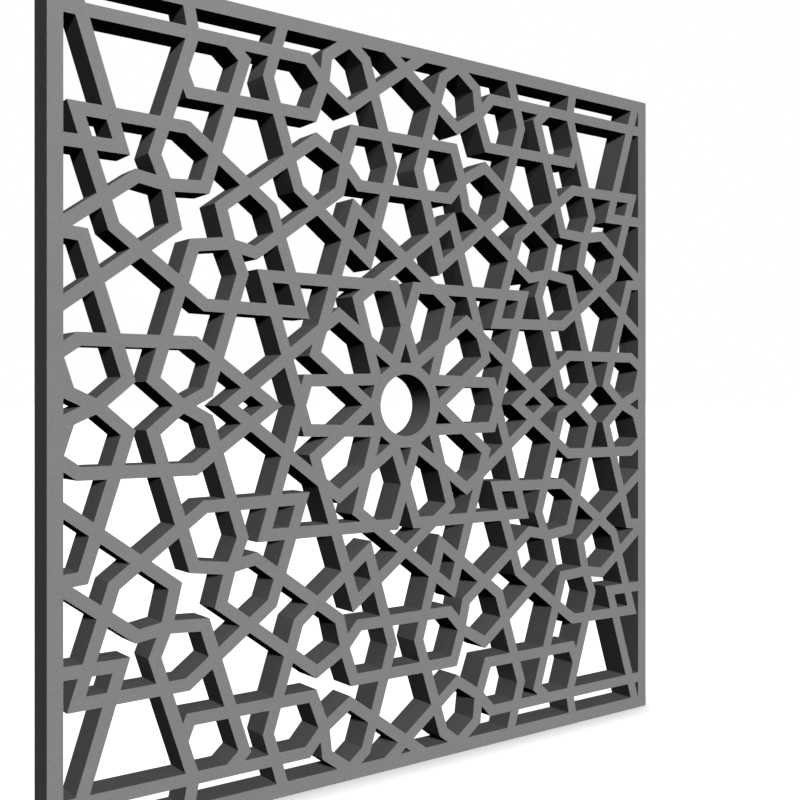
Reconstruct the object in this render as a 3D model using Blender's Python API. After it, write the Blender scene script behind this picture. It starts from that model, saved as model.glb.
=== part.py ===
"""A pierced stone window screen: one square slab, cut right through with a tenfold strap pattern.

The slab stands upright in the XZ plane with its face towards -Y, and the origin is the middle
of its underside. Ten spokes run out from the middle of the pattern, 36 degrees apart, and the
spaces half-way between them are called valleys. Every strap is drawn by its centre line, in one
side of one spoke, and repeated on both sides of all ten. The border cuts off what runs past it.
Each space that the centre lines enclose is then set in by half a strap and cut out of the slab.

In the plane of the pattern a point is a complex number: its real part runs across the screen
and its imaginary part up it, both from the middle of the pattern.
"""

import cmath
import math
from dataclasses import dataclass

import bmesh
import bpy
from mathutils import Vector
from mathutils.geometry import delaunay_2d_cdt

# The slab
WIDTH = 1.200
HEIGHT = 1.200
THICKNESS = 0.050
BORDER = 0.0225
STRAP = 0.019

# The hub: a round hole inside a ten-sided ring, and the petals that grow from its corners
HUB_HOLE_RADIUS = 0.0514
PETAL_ROOT = 0.0723
PETAL_CROSSING = 0.1309
PETAL_TIP_ASIDE = 0.0391

# Rings of straight lines: how far out their level lines lie, from the middle or beyond another ring
STAR_OUT = 0.1967
COLLAR_OUT = 0.3540
INNER_BAND_OUT = 0.4408
OUTER_BAND_BEYOND_INNER = 0.0130
RIM_OUT = 0.5401

# The shuttle: a long six-sided frame on each spoke
SHUTTLE_HALF_WIDTH = 0.0917
SHUTTLE_INNER_TIP = 0.2536
SHUTTLE_INNER_SHOULDER = 0.3834
SHUTTLE_OUTER_SHOULDER = 0.5560
SHUTTLE_OUTER_TIP = 0.6908

# Where straps leave the lines of a ring, by the distance aside of the spoke, and cross on the spoke,
# the outer ones by the distance beyond the outer band
COLLAR_KNEE = 0.0202
COLLAR_CROSSING = 0.4016
INNER_BAND_KNEE = 0.0374
INNER_BAND_CROSSING = 0.4032
OUTER_BAND_KNEE = 0.0374
RIM_KNEE = 0.0182
CROSSING_BEYOND_BAND = 0.0767

# The outer ends: the outer band turns out to the rim, and a fork spreads from beyond the crossing
BAND_TURN = 0.5832
BAND_TURN_ANGLE = 31.2
FORK_BEYOND_CROSSING = 0.0821
FORK_ANGLE = 36.0
STUB_LEAN = 11.0

# What crosses on a spoke that isn't level leans towards the screen's upright middle line
INNER_LEAN = 0.0034
OUTER_LEAN = 0.0040
RIM_LEAN = 0.0055
SHUTTLE_LEAN = 0.0014

# The pattern's own count, and how fine the drawing and the round hole are
SPOKES = 10
HOLE_SIDES = 60
DRAWING_TOLERANCE = 1e-5
STRAIGHT = math.sin(math.radians(0.5))

OUTER_BAND_OUT = INNER_BAND_OUT + OUTER_BAND_BEYOND_INNER
OUTER_CROSSING = OUTER_BAND_OUT + CROSSING_BEYOND_BAND
STEP = 360.0 / SPOKES
VALLEY = STEP / 2
HUB_MIDDLE = HUB_HOLE_RADIUS + STRAP / 2
HUB_CORNER = HUB_MIDDLE / math.cos(math.radians(VALLEY))
LEVEL, RAKING, STEEP = range(3)
RUN_OFF = WIDTH + HEIGHT
STONE_GREY = (0.215, 0.215, 0.215, 1.0)


def by_slope(level, raking, steep):
    """A size on level, raking and steep spokes or lines, from the level one and shares of it."""
    return level, level * raking, level * steep


@dataclass(frozen=True)
class Ring:
    """A ring of straight lines, set out by hand, so that they aren't all alike.

    Its level, raking and steep lines each have a distance from the middle, and are turned away
    from upright by some degrees.
    """

    distances: tuple
    turns: tuple


STAR = Ring(by_slope(STAR_OUT, 0.9919, 0.9858), (0.0, -0.42, 0.0))
COLLAR = Ring(by_slope(COLLAR_OUT, 0.9963, 0.9929), (0.0, 0.11, 0.0))
INNER_BAND = Ring(by_slope(INNER_BAND_OUT, 0.9966, 0.9939), (0.0, -0.34, -0.13))
OUTER_BAND = Ring(by_slope(OUTER_BAND_OUT, 0.9960, 0.9899), (0.0, 0.13, 0.30))
RIM = Ring(by_slope(RIM_OUT, 0.9969, 0.9920), (0.0, 0.19, 0.33))
SHUTTLE_HALF_WIDTHS = by_slope(SHUTTLE_HALF_WIDTH, 1.036, 1.036)
SHUTTLE_INNER_TIPS = by_slope(SHUTTLE_INNER_TIP, 0.9767, 0.9756)
SHUTTLE_LEANS = (0.0, -SHUTTLE_LEAN, SHUTTLE_LEAN / 2)
COLLAR_CROSSINGS = by_slope(COLLAR_CROSSING, 0.9993, 1.0035)
INNER_BAND_CROSSINGS = by_slope(INNER_BAND_CROSSING, 1.0062, 1.0087)
INNER_LEANS = (0.0, INNER_LEAN, INNER_LEAN)
OUTER_BAND_KNEES = by_slope(OUTER_BAND_KNEE, 1.031, 0.980)
RIM_KNEES = by_slope(RIM_KNEE, 1.187, 1.041)
OUTER_CROSSINGS = by_slope(OUTER_CROSSING, 1.0025, 1.0036)
OUTER_LEANS = (0.0, OUTER_LEAN, OUTER_LEAN)
RIM_LEANS = (0.0, RIM_LEAN, OUTER_LEAN)
BAND_TURNS = by_slope(BAND_TURN, 0.9993, 1.0036)


def ray(degrees):
    """A step of one metre in a direction of the drawing."""
    return cmath.rect(1.0, math.radians(degrees))


def slope(degrees):
    """Which of a size's three values a direction takes: LEVEL, RAKING or STEEP."""
    lying = round(degrees / STEP) * STEP % 180.0
    return round(min(lying, 180.0 - lying) / STEP)


def meet(first, second):
    """The point where two lines cross. A line is its normal and its distance from the middle."""
    (normal, distance), (other_normal, other_distance) = first, second
    cross = (normal.conjugate() * other_normal).imag
    return -1j * (distance * other_normal - other_distance * normal) / cross


def through(point, degrees):
    """The line through a point in a direction."""
    normal = ray(degrees + 90.0)
    return normal, (point * normal.conjugate()).real


@dataclass(frozen=True)
class Side:
    """One side of one spoke. Seen from the hub, turn is 1 for its left side and -1 for its right."""

    spoke: int
    turn: int

    def angle(self, degrees):
        """A direction of the drawing, from one measured off the spoke towards this side."""
        return self.spoke * STEP + self.turn * degrees

    def own(self, sizes):
        """The value of a size that belongs to the slope of this spoke."""
        return sizes[slope(self.angle(0.0))]

    def at(self, out, aside=0.0):
        """The point this far out along the spoke and this far aside of it."""
        return (out + 1j * self.turn * aside) * ray(self.angle(0.0))

    def ring_line(self, ring, degrees):
        """The line of a ring whose normal is turned off the spoke by an angle."""
        normal = self.angle(degrees)
        which = slope(normal - 90.0)
        turned = ring.turns[which] * math.copysign(1.0, math.sin(math.radians(2 * normal)))
        return ray(normal + turned), ring.distances[which]

    def beside(self, aside):
        """The line along the spoke, this far aside of it."""
        return through(self.at(0.0, aside), self.angle(0.0))

    def across(self, out):
        """The line square to the spoke, this far out along it."""
        return through(self.at(out), self.angle(90.0))

    def lean(self, leans):
        """How far something leans to this side: less than nothing where it leans to the other."""
        towards_middle = math.sin(math.radians(2 * self.angle(0.0)))
        return self.own(leans) * self.turn * math.copysign(1.0, towards_middle)

    def crossing(self, out, leans):
        """Where straps cross this far out on the spoke."""
        return self.at(self.own(out), self.lean(leans))

    def opposite(self):
        """The other side of the same spoke."""
        return Side(self.spoke, -self.turn)

    def neighbour(self):
        """The side of the next spoke that shares this side's valley."""
        return Side(self.spoke + self.turn, -self.turn)


def hub_ring(side):
    """Half a side of the hub's ring, which is one strap wide, and the link to the petal."""
    return [HUB_MIDDLE * ray(side.angle(VALLEY)), side.at(HUB_CORNER), side.at(PETAL_ROOT)]


def petal(side):
    """From the hub through the valley to the star, past the next petal."""
    crossing = PETAL_CROSSING * ray(side.angle(VALLEY))
    beyond = side.neighbour()
    tip = meet(beyond.ring_line(STAR, VALLEY), beyond.beside(PETAL_TIP_ASIDE))
    return [side.at(PETAL_ROOT), crossing, tip]


def star_arm(side):
    """One straight arm of the star, from a petal's tip across the spoke to the next star point."""
    line = side.ring_line(STAR, VALLEY)
    return [
        meet(line, side.beside(PETAL_TIP_ASIDE)),
        meet(line, side.ring_line(STAR, -5 * VALLEY)),
    ]


def shuttle(side):
    """Half of the long frame around the spoke."""
    lean = side.lean(SHUTTLE_LEANS)
    aside = side.own(SHUTTLE_HALF_WIDTHS) + lean
    return [
        side.at(side.own(SHUTTLE_INNER_TIPS), lean),
        side.at(SHUTTLE_INNER_SHOULDER, aside),
        side.at(SHUTTLE_OUTER_SHOULDER, aside),
        side.at(SHUTTLE_OUTER_TIP, lean),
    ]


def inner_strap(side):
    """From this side's valley along the collar, over the spoke, and along the other side's band."""
    across = side.opposite()
    collar = side.ring_line(COLLAR, VALLEY)
    band = across.ring_line(INNER_BAND, VALLEY)
    return [
        collar[0] * collar[1],
        meet(collar, side.beside(COLLAR_KNEE)),
        side.crossing(COLLAR_CROSSINGS, INNER_LEANS),
        side.crossing(INNER_BAND_CROSSINGS, INNER_LEANS),
        meet(band, across.beside(INNER_BAND_KNEE)),
        band[0] * band[1],
    ]


def outer_band(side):
    """From the rim at the next spoke along the outer band, through the valley to this side's knee."""
    line = side.ring_line(OUTER_BAND, -VALLEY)
    beyond = side.neighbour()
    turn = meet(line, beyond.across(beyond.own(BAND_TURNS)))
    out = through(turn, beyond.angle(BAND_TURN_ANGLE))
    knee = meet(line, side.beside(side.own(OUTER_BAND_KNEES) + side.lean(OUTER_LEANS)))
    return [meet(out, beyond.ring_line(RIM, -VALLEY)), turn, knee]


def rim(side):
    """From this side's knee along the rim's line through the valley, and straight on."""
    line = side.ring_line(RIM, -VALLEY)
    knee = meet(line, side.beside(side.own(RIM_KNEES) + side.lean(RIM_LEANS)))
    valley = meet(line, side.ring_line(RIM, 3 * VALLEY))
    onward = (valley - knee) / abs(valley - knee)
    if slope(side.angle(90.0 - VALLEY)) == STEEP and slope(side.angle(3 * VALLEY - 90.0)) == LEVEL:
        # At the head and the foot the steep line ends here, and a short stub takes its place.
        onward = ray(side.angle(3 * VALLEY - STUB_LEAN))
    return [knee, valley, valley + RUN_OFF * onward]


def outer_strap(side):
    """This side's outer band, over the spoke, and the other side's rim."""
    return [*outer_band(side), side.crossing(OUTER_CROSSINGS, OUTER_LEANS), *rim(side.opposite())]


def fork(side):
    """From the spoke out to the border, beyond the rim."""
    start = side.at(OUTER_CROSSING + FORK_BEYOND_CROSSING)
    return [start, start + RUN_OFF * ray(side.angle(FORK_ANGLE))]


def centre_lines():
    """The centre line of every strap, as lists of points."""
    lines = []
    for spoke in range(SPOKES):
        for turn in (1, -1):
            side = Side(spoke, turn)
            lines += [
                hub_ring(side),
                petal(side),
                star_arm(side),
                shuttle(side),
                inner_strap(side),
                outer_strap(side),
                fork(side),
            ]
    return lines


def field_corners():
    """The corners of the border's inner edge, anticlockwise."""
    across, up = WIDTH / 2 - BORDER, HEIGHT / 2 - BORDER
    return [complex(-across, -up), complex(across, -up), complex(across, up), complex(-across, up)]


def inside_field(start, end):
    """The stretch of a line that lies inside the border, or None."""
    low, _, high, _ = field_corners()
    first, last = 0.0, 1.0
    step = end - start
    for origin, rise, least, most in (
        (start.real, step.real, low.real, high.real),
        (start.imag, step.imag, low.imag, high.imag),
    ):
        if abs(rise) < DRAWING_TOLERANCE:
            if not least < origin < most:
                return None
            continue
        enters, leaves = sorted(((least - origin) / rise, (most - origin) / rise))
        first, last = max(first, enters), min(last, leaves)
    if (last - first) * abs(step) < DRAWING_TOLERANCE:
        return None
    return start + first * step, start + last * step


def split_points(stretch, others):
    """The ends of a stretch and every point where another one crosses it or ends on it, in order."""
    start, end = stretch
    length = abs(end - start)
    along = (end - start) / length
    places = [0.0, length]
    for other_start, other_end in others:
        first = (other_start - start) * along.conjugate()
        second = (other_end - start) * along.conjugate()
        rise = second.imag - first.imag
        if abs(rise) < DRAWING_TOLERANCE or min(first.imag, second.imag) > DRAWING_TOLERANCE:
            continue
        if max(first.imag, second.imag) < -DRAWING_TOLERANCE:
            continue
        places.append(first.real - first.imag * (second.real - first.real) / rise)
    places = sorted(place for place in places if -DRAWING_TOLERANCE < place < length + DRAWING_TOLERANCE)
    return [start + place * along for place in places]


def drawing_net():
    """The centre lines inside the border, and its inner edge: points, and each one's neighbours."""
    corners = field_corners()
    stretches = [(corners[i - 1], corners[i]) for i in range(4)]
    for line in centre_lines():
        for start, end in zip(line, line[1:]):
            stretch = inside_field(start, end)
            if stretch:
                stretches.append(stretch)
    points = []
    neighbours = []

    def index_of(point):
        for index, known in enumerate(points):
            if abs(known - point) < 2 * DRAWING_TOLERANCE:
                return index
        points.append(point)
        neighbours.append(set())
        return len(points) - 1

    for stretch in stretches:
        chain = [index_of(point) for point in split_points(stretch, stretches)]
        for one, other in zip(chain, chain[1:]):
            if one != other:
                neighbours[one].add(other)
                neighbours[other].add(one)
    return points, neighbours


def enclosed_spaces():
    """The spaces between the centre lines and the border, each as its corners anticlockwise."""
    points, neighbours = drawing_net()
    loose = [index for index, near in enumerate(neighbours) if len(near) == 1]
    while loose:
        # A strap that ends in the open is left off.
        index = loose.pop()
        for near in neighbours[index]:
            neighbours[near].discard(index)
            if len(neighbours[near]) == 1:
                loose.append(near)
        neighbours[index] = set()
    onward = {}
    for index, near in enumerate(neighbours):
        turned = sorted(near, key=lambda other: cmath.phase(points[other] - points[index]))
        for place, other in enumerate(turned):
            onward[other, index] = (index, turned[place - 1])
    spaces = []
    while onward:
        edge = next(iter(onward))
        loop = []
        while edge in onward:
            loop.append(points[edge[0]])
            edge = onward.pop(edge)
        turns = zip(loop, loop[1:] + loop[:1])
        if sum((start.conjugate() * end).imag for start, end in turns) > 0.0:
            spaces.append(loop)
    return spaces


def on_border(start, end):
    """Whether an edge of a space runs along the border's inner edge."""
    low, _, high, _ = field_corners()
    return any(
        abs(start_part - limit) < DRAWING_TOLERANCE and abs(end_part - limit) < DRAWING_TOLERANCE
        for start_part, end_part, limit in (
            (start.real, end.real, low.real),
            (start.real, end.real, high.real),
            (start.imag, end.imag, low.imag),
            (start.imag, end.imag, high.imag),
        )
    )


@dataclass(frozen=True)
class Edge:
    """A side of a space, and how far its line moves in where a strap runs along it."""

    start: complex
    end: complex
    inset: float

    def direction(self):
        """A step of one metre along the side."""
        return (self.end - self.start) / abs(self.end - self.start)

    def line(self):
        """The line of the opening's edge beside it."""
        normal = 1j * self.direction()
        return normal, (self.start * normal.conjugate()).real + self.inset

    def runs_beside(self, other):
        """Whether the other side lies the same way, so that the two never meet."""
        return abs((self.direction().conjugate() * other.direction()).imag) < STRAIGHT


def edges_of(corners):
    """The sides of a space. Stretches that run straight on are one side."""
    edges = []
    for start, end in zip(corners, corners[1:] + corners[:1]):
        edge = Edge(start, end, 0.0 if on_border(start, end) else STRAP / 2)
        if edges and edges[-1].runs_beside(edge):
            edge = Edge(edges.pop().start, end, edge.inset)
        edges.append(edge)
    if edges[-1].runs_beside(edges[0]):
        edges[0] = Edge(edges.pop().start, edges[0].end, edges[0].inset)
    return edges


def closed_end(edges):
    """The shorter of two neighbours that run side by side, because the end between them has closed."""
    for place, edge in enumerate(edges):
        before = edges[place - 1]
        if before.runs_beside(edge):
            further = ((before.start - edge.end) * edge.direction().conjugate()).real > 0.0
            return place if further else (place - 1) % len(edges)
    return None


def set_in(corners):
    """The opening left in a space, or nothing where the straps around it fill it."""
    edges = edges_of(corners)
    while len(edges) > 2:
        closed = closed_end(edges)
        if closed is not None:
            edges.pop(closed)
            continue
        points = [meet(edges[i - 1].line(), edge.line()) for i, edge in enumerate(edges)]
        ends = points[1:] + points[:1]
        lengths = [
            ((end - start) * edge.direction().conjugate()).real
            for start, end, edge in zip(points, ends, edges)
        ]
        if min(lengths) > 0.0:
            return points
        edges.pop(lengths.index(min(lengths)))
    return []


def crossed_at(start, end, other_start, other_end):
    """The point where two sides cross, or None."""
    side, other_side = end - start, other_end - other_start
    before = (side.conjugate() * (other_start - start)).imag
    beyond = (side.conjugate() * (other_end - start)).imag
    other_before = (other_side.conjugate() * (start - other_start)).imag
    other_beyond = (other_side.conjugate() * (end - other_start)).imag
    if before * beyond < 0.0 and other_before * other_beyond < 0.0:
        return other_start + other_side * before / (before - beyond)
    return None


def parted(corners):
    """An outline as one opening, or as several where straps close the narrow places in it."""
    count = len(corners)
    for first in range(count - 2):
        for second in range(first + 2, count - (first == 0)):
            following = corners[(second + 1) % count]
            point = crossed_at(corners[first], corners[first + 1], corners[second], following)
            if point is not None:
                between = [point, *corners[first + 1 : second + 1]]
                around = [point, *corners[second + 1 :], *corners[: first + 1]]
                return parted(between) + parted(around)
    turns = zip(corners, corners[1:] + corners[:1])
    area = sum((start.conjugate() * end).imag for start, end in turns) / 2
    return [corners] if area > DRAWING_TOLERANCE * STRAP else []


def openings():
    """Every opening of the screen: those of the pattern, and the round hole in the hub."""
    cut = []
    for space in enclosed_spaces():
        around_hub = all(abs(corner) < HUB_CORNER + DRAWING_TOLERANCE for corner in space)
        if not around_hub:
            cut += parted(set_in(space))
    hole = [HUB_HOLE_RADIUS * ray(360.0 * i / HOLE_SIDES) for i in range(HOLE_SIDES)]
    return cut + [hole]


def stone_face(mesh):
    """Draws the screen's face in a bmesh, as triangles that leave the openings out."""
    across, up = WIDTH / 2, HEIGHT / 2
    slab = [complex(-across, -up), complex(across, -up), complex(across, up), complex(-across, up)]
    loops = [slab] + openings()
    points = []
    faces = []
    for loop in loops:
        faces.append(list(range(len(points), len(points) + len(loop))))
        points += [Vector((point.real, point.imag)) for point in loop]
    inside_faces = 1
    vertices, _, triangles, _, _, origins = delaunay_2d_cdt(
        points, [], faces, inside_faces, DRAWING_TOLERANCE
    )
    corners = [mesh.verts.new((x, -THICKNESS / 2, y + HEIGHT / 2)) for x, y in vertices]
    slab_only = [0]
    for triangle, origin in zip(triangles, origins):
        if origin == slab_only:
            mesh.faces.new([corners[i] for i in triangle])


def stone():
    """Fine grey stone with a rubbed, matt face."""
    material = bpy.data.materials.new("stone")
    material.use_nodes = True
    surface = material.node_tree.nodes["Principled BSDF"]
    surface.inputs["Base Color"].default_value = STONE_GREY
    surface.inputs["Roughness"].default_value = 0.85
    surface.inputs["Metallic"].default_value = 0.0
    material.diffuse_color = STONE_GREY
    return material


def grille():
    """The screen: its face pushed back through the thickness of the slab."""
    drawing = bmesh.new()
    stone_face(drawing)
    pushed = bmesh.ops.extrude_face_region(drawing, geom=drawing.faces[:], use_keep_orig=True)
    back = [item for item in pushed["geom"] if isinstance(item, bmesh.types.BMVert)]
    bmesh.ops.translate(drawing, verts=back, vec=(0.0, THICKNESS, 0.0))
    bmesh.ops.recalc_face_normals(drawing, faces=drawing.faces[:])
    mesh = bpy.data.meshes.new("grille")
    drawing.to_mesh(mesh)
    drawing.free()
    mesh.materials.append(stone())
    screen = bpy.data.objects.new("grille", mesh)
    bpy.context.scene.collection.objects.link(screen)


def main():
    """Clears the scene and builds the screen."""
    for old in list(bpy.data.objects):
        bpy.data.objects.remove(old)
    grille()


if __name__ == "__main__":
    main()
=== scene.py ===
"""The looks of a pierced stone window screen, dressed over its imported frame.

The frame holds the screen's solid: a square slab, cut right through with a tenfold strap pattern,
that stands in the XZ plane with its face towards -Y. This script takes the outline of that
solid's face, eases its corners, rubs down its edges and gives the stone its finish. A pale floor,
a soft studio light and a camera complete the picture. All sizes are in metres.
"""

import logging
import math
from dataclasses import dataclass, field
from enum import Enum

import bmesh
import bpy
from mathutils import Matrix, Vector


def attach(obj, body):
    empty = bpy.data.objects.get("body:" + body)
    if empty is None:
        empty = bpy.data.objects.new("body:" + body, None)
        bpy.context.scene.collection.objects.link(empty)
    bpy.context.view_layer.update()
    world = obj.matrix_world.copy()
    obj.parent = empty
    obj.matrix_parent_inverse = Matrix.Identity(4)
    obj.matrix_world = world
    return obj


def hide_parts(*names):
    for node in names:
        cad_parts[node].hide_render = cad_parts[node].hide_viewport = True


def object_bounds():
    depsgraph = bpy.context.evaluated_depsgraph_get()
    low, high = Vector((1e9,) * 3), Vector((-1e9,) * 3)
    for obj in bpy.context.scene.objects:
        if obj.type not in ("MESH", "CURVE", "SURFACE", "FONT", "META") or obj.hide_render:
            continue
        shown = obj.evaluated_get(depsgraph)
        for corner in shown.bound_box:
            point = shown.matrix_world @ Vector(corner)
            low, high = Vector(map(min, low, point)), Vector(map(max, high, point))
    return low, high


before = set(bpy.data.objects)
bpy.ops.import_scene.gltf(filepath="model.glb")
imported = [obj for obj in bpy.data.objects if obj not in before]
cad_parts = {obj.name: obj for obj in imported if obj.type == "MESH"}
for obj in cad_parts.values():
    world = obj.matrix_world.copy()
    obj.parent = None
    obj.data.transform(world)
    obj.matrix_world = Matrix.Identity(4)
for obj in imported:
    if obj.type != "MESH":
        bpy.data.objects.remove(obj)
SOLID_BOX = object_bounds()

LOG = logging.getLogger("screen")
SCREEN_NODE = "grille"


class Spread(Enum):
    """How a pattern lies in the stone: the same all ways, or drawn out through the slab."""

    EVEN = "even"
    THROUGH = "through"


class LampKind(Enum):
    """How far off a lamp hangs: so far that its rays run side by side, or near."""

    FAR = "SUN"
    NEAR = "POINT"


def new_material(name: str) -> tuple[bpy.types.Material, bpy.types.NodeTree]:
    """Makes a material that has only its output.

    Args:
        name: The material's name.

    Returns:
        The material and its node tree.
    """
    material = bpy.data.materials.new(name)
    material.use_nodes = True
    tree = material.node_tree
    tree.nodes.clear()
    tree.nodes.new("ShaderNodeOutputMaterial")
    return material, tree


def finish_with(tree: bpy.types.NodeTree, shader: bpy.types.Node) -> None:
    """Joins a shader to its material's output.

    Args:
        tree: The material's node tree.
        shader: The shader to show.
    """
    output = next(node for node in tree.nodes if node.type == "OUTPUT_MATERIAL")
    tree.links.new(shader.outputs[0], output.inputs["Surface"])


@dataclass(frozen=True)
class StoneFinish:
    """Fine-grained grey stone with a rubbed, matt face."""

    grey: float = 0.225
    cloud_size: float = 0.22
    cloud_share: float = 0.07
    cloud_detail: float = 4.0
    grain_size: float = 0.0022
    grain_share: float = 0.10
    grain_detail: float = 2.0
    grain_fine: float = 0.3
    grain_coarse: float = 0.7
    fleck_size: float = 0.0030
    fleck_share: float = 0.035
    drag_size: float = 0.0050
    drag_length: float = 0.030
    drag_detail: float = 3.0
    roughness_low: float = 0.78
    roughness_high: float = 0.92
    specular: float = 0.20
    grain_depth: float = 0.00002
    drag_depth: float = 0.00003

    def make(self) -> bpy.types.Material:
        """Builds the stone from patterns on object coordinates.

        Returns:
            The material.
        """
        material, tree = new_material("rubbed stone")
        place = tree.nodes.new("ShaderNodeTexCoord").outputs["Object"]
        cloud = self._noise(tree, place, self.cloud_size, self.cloud_detail, Spread.EVEN)
        grain = self._noise(tree, place, self.grain_size, self.grain_detail, Spread.EVEN)
        drag = self._noise(tree, place, self.drag_size, self.drag_detail, Spread.THROUGH)
        shares = (
            (cloud, self.cloud_share),
            (grain, self.grain_share),
            (self._flecks(tree, place), self.fleck_share),
        )
        shader = tree.nodes.new("ShaderNodeBsdfPrincipled")
        shader.inputs["Specular IOR Level"].default_value = self.specular
        tree.links.new(self._colour(tree, shares), shader.inputs["Base Color"])
        tree.links.new(self._roughness(tree, grain), shader.inputs["Roughness"])
        relief = self._relief(tree, ((drag, self.drag_depth), (grain, self.grain_depth)))
        tree.links.new(relief, shader.inputs["Normal"])
        finish_with(tree, shader)
        return material

    def _noise(
        self,
        tree: bpy.types.NodeTree,
        place: bpy.types.NodeSocket,
        size: float,
        detail: float,
        spread: Spread,
    ) -> bpy.types.NodeSocket:
        """Soft noise in the stone.

        Args:
            tree: The material's node tree.
            place: The coordinates that the pattern reads.
            size: How large its patches are.
            detail: How many finer octaves it has.
            spread: Whether it is drawn out through the slab.

        Returns:
            A value about 0.5 on average.
        """
        through = self.drag_length if spread is Spread.THROUGH else size
        stretch = tree.nodes.new("ShaderNodeMapping")
        stretch.inputs["Scale"].default_value = (1 / size, 1 / through, 1 / size)
        tree.links.new(place, stretch.inputs["Vector"])
        noise = tree.nodes.new("ShaderNodeTexNoise")
        noise.inputs["Scale"].default_value = 1.0
        noise.inputs["Detail"].default_value = detail
        tree.links.new(stretch.outputs["Vector"], noise.inputs["Vector"])
        return noise.outputs["Fac"]

    def _flecks(
        self, tree: bpy.types.NodeTree, place: bpy.types.NodeSocket
    ) -> bpy.types.NodeSocket:
        """Mineral flecks, each with a shade of its own.

        Args:
            tree: The material's node tree.
            place: The coordinates that the pattern reads.

        Returns:
            A value about 0.5 on average.
        """
        cells = tree.nodes.new("ShaderNodeTexVoronoi")
        cells.inputs["Scale"].default_value = 1 / self.fleck_size
        tree.links.new(place, cells.inputs["Vector"])
        shades = tree.nodes.new("ShaderNodeSeparateColor")
        tree.links.new(cells.outputs["Color"], shades.inputs["Color"])
        return shades.outputs["Red"]

    def _colour(
        self,
        tree: bpy.types.NodeTree,
        shares: tuple[tuple[bpy.types.NodeSocket, float], ...],
    ) -> bpy.types.NodeSocket:
        """The stone's grey, lighter and darker with its patterns.

        Args:
            tree: The material's node tree.
            shares: Each pattern, and the share of the grey that it takes away or adds.

        Returns:
            The colour.
        """
        tone: bpy.types.NodeSocket | None = None
        for pattern, share in shares:
            swing = tree.nodes.new("ShaderNodeMath")
            swing.operation = "MULTIPLY_ADD"
            swing.inputs[1].default_value = 2.0 * share
            swing.inputs[2].default_value = 1.0 - share
            tree.links.new(pattern, swing.inputs[0])
            if tone is not None:
                both = tree.nodes.new("ShaderNodeMath")
                both.operation = "MULTIPLY"
                tree.links.new(tone, both.inputs[0])
                tree.links.new(swing.outputs[0], both.inputs[1])
                swing = both
            tone = swing.outputs[0]
        shade = tree.nodes.new("ShaderNodeVectorMath")
        shade.operation = "SCALE"
        shade.inputs[0].default_value = (self.grey, self.grey, self.grey)
        tree.links.new(tone, shade.inputs["Scale"])
        return shade.outputs["Vector"]

    def _roughness(
        self, tree: bpy.types.NodeTree, grain: bpy.types.NodeSocket
    ) -> bpy.types.NodeSocket:
        """Matt all over, a little duller in the coarser grain.

        Args:
            tree: The material's node tree.
            grain: The grain's pattern.

        Returns:
            The roughness.
        """
        spread = tree.nodes.new("ShaderNodeMapRange")
        spread.inputs["From Min"].default_value = self.grain_fine
        spread.inputs["From Max"].default_value = self.grain_coarse
        spread.inputs["To Min"].default_value = self.roughness_low
        spread.inputs["To Max"].default_value = self.roughness_high
        tree.links.new(grain, spread.inputs["Value"])
        return spread.outputs["Result"]

    def _relief(
        self,
        tree: bpy.types.NodeTree,
        depths: tuple[tuple[bpy.types.NodeSocket, float], ...],
    ) -> bpy.types.NodeSocket:
        """The tool's long drag marks, and the grain over them.

        Args:
            tree: The material's node tree.
            depths: Each pattern, and how deep it lies in the stone.

        Returns:
            The surface's direction.
        """
        direction: bpy.types.NodeSocket | None = None
        for pattern, depth in depths:
            bump = tree.nodes.new("ShaderNodeBump")
            bump.inputs["Strength"].default_value = 1.0
            bump.inputs["Distance"].default_value = depth
            tree.links.new(pattern, bump.inputs["Height"])
            if direction is not None:
                tree.links.new(direction, bump.inputs["Normal"])
            direction = bump.outputs["Normal"]
        return direction


@dataclass(frozen=True)
class FloorFinish:
    """Plain white paint for the studio's floor."""

    white: float = 0.9

    def make(self) -> bpy.types.Material:
        """Builds the paint.

        Returns:
            The material.
        """
        material, tree = new_material("white floor")
        paint = tree.nodes.new("ShaderNodeBsdfDiffuse")
        paint.inputs["Color"].default_value = (self.white, self.white, self.white, 1.0)
        finish_with(tree, paint)
        return material


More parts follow.
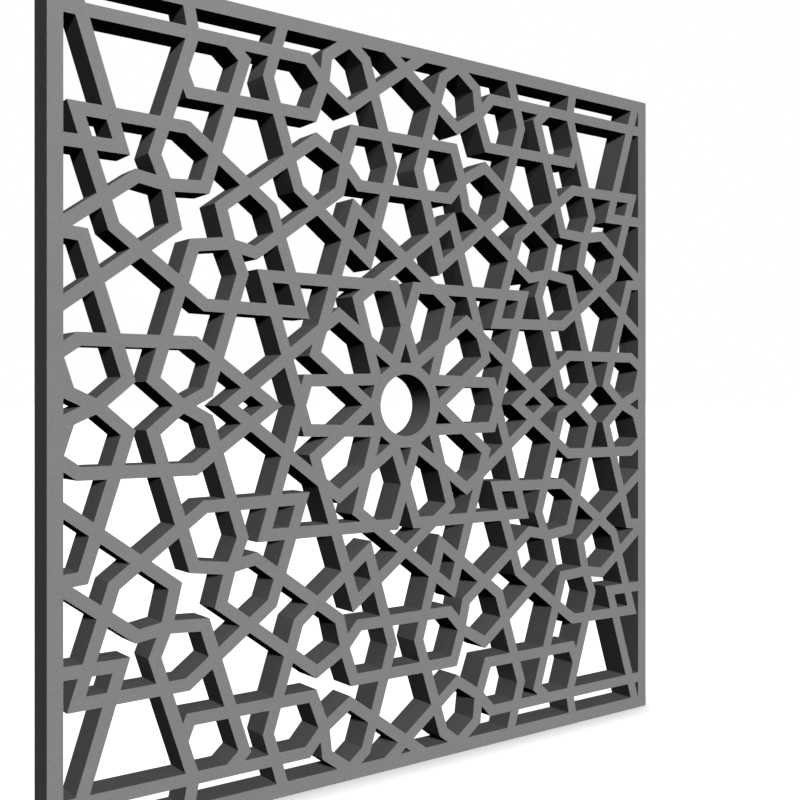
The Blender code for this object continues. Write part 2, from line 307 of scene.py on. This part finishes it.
@dataclass
class CarvedScreen:
    """The stone screen, carved from one slab."""

    name: str = "carved_screen"
    corner_ease: float = 0.0006
    corner_turn: float = math.radians(20.0)
    shortest_side: float = 0.003
    arris: float = 0.00035
    arris_turn: float = 0.293
    hub_reach: float = 0.060
    hub_softening: float = 0.0018
    weld: float = 1e-5
    smooth_turn: float = math.radians(12.0)
    squarely: float = 0.99
    ease_steps: int = 2
    ease_profile: float = 0.5
    finish: StoneFinish = field(default_factory=StoneFinish)

    def build(self, solid: bpy.types.Object) -> bpy.types.Object:
        """Carves the screen and puts it in the solid's place.

        Args:
            solid: The frame's solid of the screen.

        Returns:
            The finished piece.
        """
        stone = bmesh.new()
        stone.from_mesh(solid.data)
        bmesh.ops.remove_doubles(stone, verts=stone.verts[:], dist=self.weld)
        front = min(vert.co.y for vert in stone.verts)
        self._keep_outline(stone)
        self._ease_corners(stone)
        self._soften_hub(stone)
        self._fill_face(stone)
        self._rub_arris(stone, front)
        self._give_thickness(stone)
        self._mark_edges(stone)
        mesh = bpy.data.meshes.new(self.name)
        stone.to_mesh(mesh)
        stone.free()
        mesh.materials.append(self.finish.make())
        piece = bpy.data.objects.new(self.name, mesh)
        bpy.context.scene.collection.objects.link(piece)
        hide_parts(SCREEN_NODE)
        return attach(piece, "root")

    def _keep_outline(self, stone: bmesh.types.BMesh) -> None:
        """Leaves only the outline of the front face and of its openings, as bare edges.

        Args:
            stone: The merged solid.
        """
        stone.normal_update()
        front_faces = {face for face in stone.faces if face.normal.y < -self.squarely}
        outline = {
            edge
            for edge in stone.edges
            if sum(face in front_faces for face in edge.link_faces) == 1
        }
        spare = [edge for edge in stone.edges if edge not in outline]
        bmesh.ops.delete(stone, geom=stone.faces[:], context="FACES_ONLY")
        bmesh.ops.delete(stone, geom=[edge for edge in spare if edge.is_valid], context="EDGES")
        loose = [vert for vert in stone.verts if not vert.link_edges]
        bmesh.ops.delete(stone, geom=loose, context="VERTS")

    def _turn_at(self, vert: bmesh.types.BMVert) -> float:
        """How sharply the outline turns at one of its points.

        Args:
            vert: A point with two edges.

        Returns:
            The angle in radians, 0 where the outline runs straight on.
        """
        first, second = (edge.other_vert(vert).co - vert.co for edge in vert.link_edges)
        return math.pi - first.angle(second)

    def _ease_corners(self, stone: bmesh.types.BMesh) -> None:
        """Eases every corner of the openings, as a chisel leaves it.

        Args:
            stone: The outline.
        """
        corners = [
            vert
            for vert in stone.verts
            if self._turn_at(vert) > self.corner_turn
            and min(edge.calc_length() for edge in vert.link_edges) > self.shortest_side
        ]
        bmesh.ops.bevel(
            stone,
            geom=corners,
            offset=self.corner_ease,
            segments=self.ease_steps,
            profile=self.ease_profile,
            affect="VERTICES",
            material=-1,
        )

    def _soften_hub(self, stone: bmesh.types.BMesh) -> None:
        """Turns the hub's many-sided hole into a round one.

        Args:
            stone: The outline.
        """
        low, high = (Vector(corner) for corner in SOLID_BOX)
        middle = (low + high) / 2
        around = [
            vert
            for vert in stone.verts
            if math.hypot(vert.co.x - middle.x, vert.co.z - middle.z) < self.hub_reach
        ]
        bmesh.ops.bevel(
            stone,
            geom=around,
            offset=self.hub_softening,
            segments=self.ease_steps,
            profile=self.ease_profile,
            affect="VERTICES",
            material=-1,
        )

    def _fill_face(self, stone: bmesh.types.BMesh) -> None:
        """Fills the stone between the openings with one flat face of triangles.

        Args:
            stone: The outline.
        """
        bmesh.ops.triangle_fill(
            stone,
            use_beauty=True,
            use_dissolve=False,
            edges=stone.edges[:],
            normal=(0.0, -1.0, 0.0),
        )
        bmesh.ops.recalc_face_normals(stone, faces=stone.faces[:])
        stone.normal_update()
        backwards = [face for face in stone.faces if face.normal.y > 0.0]
        bmesh.ops.reverse_faces(stone, faces=backwards)

    def _rub_arris(self, stone: bmesh.types.BMesh, front: float) -> None:
        """Rubs down the edges of the front face, in three short slopes.

        Args:
            stone: The flat face.
            front: Where the face lies along Y.
        """
        outline = {vert for vert in stone.verts if vert.is_boundary}
        shallow = self.arris * self.arris_turn
        bmesh.ops.inset_region(
            stone,
            faces=stone.faces[:],
            use_boundary=True,
            use_even_offset=True,
            thickness=shallow,
        )
        near = {vert for vert in stone.verts if vert not in outline}
        rubbed = [face for face in stone.faces if not any(vert in outline for vert in face.verts)]
        ring = {vert for vert in near if any(v in outline for e in vert.link_edges for v in e.verts)}
        bmesh.ops.inset_region(
            stone,
            faces=rubbed,
            use_boundary=True,
            use_even_offset=True,
            thickness=self.arris - shallow,
        )
        for vert in outline:
            vert.co.y = front + self.arris
        for vert in ring:
            vert.co.y = front + shallow

    def _give_thickness(self, stone: bmesh.types.BMesh) -> None:
        """Takes the outline to the middle of the slab, and mirrors the half for the back.

        Args:
            stone: The front face with its arris.
        """
        rim = [edge for edge in stone.edges if edge.is_boundary]
        walls = bmesh.ops.extrude_edge_only(stone, edges=rim)
        for item in walls["geom"]:
            if isinstance(item, bmesh.types.BMVert):
                item.co.y = 0.0
        half = [*stone.faces, *stone.edges, *stone.verts]
        bmesh.ops.mirror(stone, geom=half, axis="Y", merge_dist=self.weld)
        bmesh.ops.recalc_face_normals(stone, faces=stone.faces[:])

    def _mark_edges(self, stone: bmesh.types.BMesh) -> None:
        """Shades the hub's wall as round, and keeps every real edge crisp.

        Args:
            stone: The finished mesh.
        """
        for face in stone.faces:
            face.smooth = True
        for edge in stone.edges:
            edge.smooth = edge.calc_face_angle(math.pi) < self.smooth_turn


@dataclass(frozen=True)
class Lamp:
    """A studio lamp that lights one thing, with light that goes no further than what it meets.

    A far lamp's source is the direction that its light comes from and its softness is an angle.
    A near lamp's source is its place and its softness is its radius. A lamp that doesn't shine
    gives no gloss, only plain light.
    """

    name: str
    kind: LampKind
    source: tuple[float, float, float]
    power: float
    softness: float
    shines: bool = True

    def hang(self, lit: bpy.types.Object, shaded_by: bpy.types.Object) -> None:
        """Hangs the lamp.

        Args:
            lit: What it lights.
            shaded_by: What keeps its light off.
        """
        lamp = bpy.data.lights.new(self.name, self.kind.value)
        lamp.energy = self.power
        lamp.cycles.max_bounces = 0
        hung = bpy.data.objects.new(self.name, lamp)
        if self.kind is LampKind.FAR:
            lamp.angle = self.softness
            hung.rotation_mode = "QUATERNION"
            hung.rotation_quaternion = Vector(self.source).to_track_quat("Z", "Y")
        else:
            lamp.shadow_soft_size = self.softness
            hung.location = self.source
        bpy.context.scene.collection.objects.link(hung)
        hung.visible_camera = False
        hung.visible_glossy = self.shines
        hung.light_linking.receiver_collection = self._group("lit by", lit)
        hung.light_linking.blocker_collection = self._group("shaded from", shaded_by)

    def _group(self, role: str, member: bpy.types.Object) -> bpy.types.Collection:
        """Puts one thing in a collection of its own.

        Args:
            role: What the collection is for.
            member: The thing.

        Returns:
            The collection.
        """
        group = bpy.data.collections.new(f"{role} {self.name}")
        group.objects.link(member)
        return group


@dataclass
class Studio:
    """A white room: the floor, the lights and what lies beyond.

    The key and a weak near lamp light the face and the walls of the openings, the right and back
    lamps what those two leave dark, and the top lamp the floor.
    """

    floor_size: float = 400.0
    dim: float = 0.004
    key: Lamp = Lamp(
        name="key",
        kind=LampKind.FAR,
        source=(-0.0310, -0.2220, 0.0585),
        power=3.20,
        softness=math.radians(8.0),
    )
    near: Lamp = Lamp(
        name="near",
        kind=LampKind.NEAR,
        source=(-0.453, -0.598, 1.320),
        power=1.91,
        softness=0.05,
    )
    right: Lamp = Lamp(
        name="right",
        kind=LampKind.FAR,
        source=(1.0, 0.0, 0.2),
        power=0.62,
        softness=math.radians(8.0),
        shines=False,
    )
    back: Lamp = Lamp(
        name="back",
        kind=LampKind.FAR,
        source=(0.0, 1.0, 0.0),
        power=3.3,
        softness=math.radians(0.5),
        shines=False,
    )
    top: Lamp = Lamp(
        name="top",
        kind=LampKind.FAR,
        source=(0.0, 0.0, 1.0),
        power=4.6,
        softness=math.radians(10.0),
    )
    paint: FloorFinish = field(default_factory=FloorFinish)

    def build(self, screen: bpy.types.Object) -> None:
        """Sets up the room around the screen.

        Args:
            screen: The finished screen.
        """
        floor = self._floor()
        for lamp in (self.key, self.near, self.right, self.back):
            lamp.hang(lit=screen, shaded_by=screen)
        self.top.hang(lit=floor, shaded_by=screen)
        self._surroundings()
        bpy.context.scene.view_settings.view_transform = "Standard"

    def _floor(self) -> bpy.types.Object:
        """Lays the floor at the screen's foot.

        Returns:
            The floor.
        """
        drawing = bmesh.new()
        bmesh.ops.create_grid(drawing, x_segments=1, y_segments=1, size=self.floor_size / 2)
        mesh = bpy.data.meshes.new("floor")
        drawing.to_mesh(mesh)
        drawing.free()
        mesh.materials.append(self.paint.make())
        floor = bpy.data.objects.new("floor", mesh)
        floor.visible_diffuse = False
        floor.visible_glossy = False
        bpy.context.scene.collection.objects.link(floor)
        return floor

    def _surroundings(self) -> None:
        """White to look at, and almost dark as a light."""
        world = bpy.data.worlds.new("white room")
        bpy.context.scene.world = world
        world.use_nodes = True
        tree = world.node_tree
        tree.nodes.clear()
        looked_at = tree.nodes.new("ShaderNodeLightPath").outputs["Is Camera Ray"]
        level = tree.nodes.new("ShaderNodeMapRange")
        level.inputs["To Min"].default_value = self.dim
        level.inputs["To Max"].default_value = 1.0
        tree.links.new(looked_at, level.inputs["Value"])
        glow = tree.nodes.new("ShaderNodeBackground")
        glow.inputs["Color"].default_value = (1.0, 1.0, 1.0, 1.0)
        tree.links.new(level.outputs["Result"], glow.inputs["Strength"])
        output = tree.nodes.new("ShaderNodeOutputWorld")
        tree.links.new(glow.outputs["Background"], output.inputs["Surface"])


@dataclass
class Viewpoint:
    """Where the picture is taken from: level, to the left of the screen, and close to it."""

    place: tuple[float, float, float] = (-1.0921, -1.4661, 0.6086)
    turned_right: float = math.radians(36.849)
    lens: float = 48.937
    sensor: float = 36.0
    nearest: float = 0.05
    farthest: float = 1000.0

    def build(self) -> None:
        """Sets up the camera."""
        camera = bpy.data.cameras.new("camera")
        camera.lens = self.lens
        camera.sensor_width = self.sensor
        camera.clip_start = self.nearest
        camera.clip_end = self.farthest
        held = bpy.data.objects.new("camera", camera)
        held.location = self.place
        held.rotation_euler = (math.pi / 2, 0.0, -self.turned_right)
        bpy.context.scene.collection.objects.link(held)
        bpy.context.scene.camera = held


def main() -> None:
    """Builds the screen, then the studio and the camera."""
    logging.basicConfig(level=logging.INFO, format="%(name)s: %(message)s")
    screen = CarvedScreen().build(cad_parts[SCREEN_NODE])
    mesh = screen.data
    LOG.info("%s: %d vertices, %d faces", screen.name, len(mesh.vertices), len(mesh.polygons))
    Studio().build(screen)
    LOG.info("studio: floor and five lamps")
    Viewpoint().build()
    LOG.info("camera")


if __name__ == "__main__":
    main()
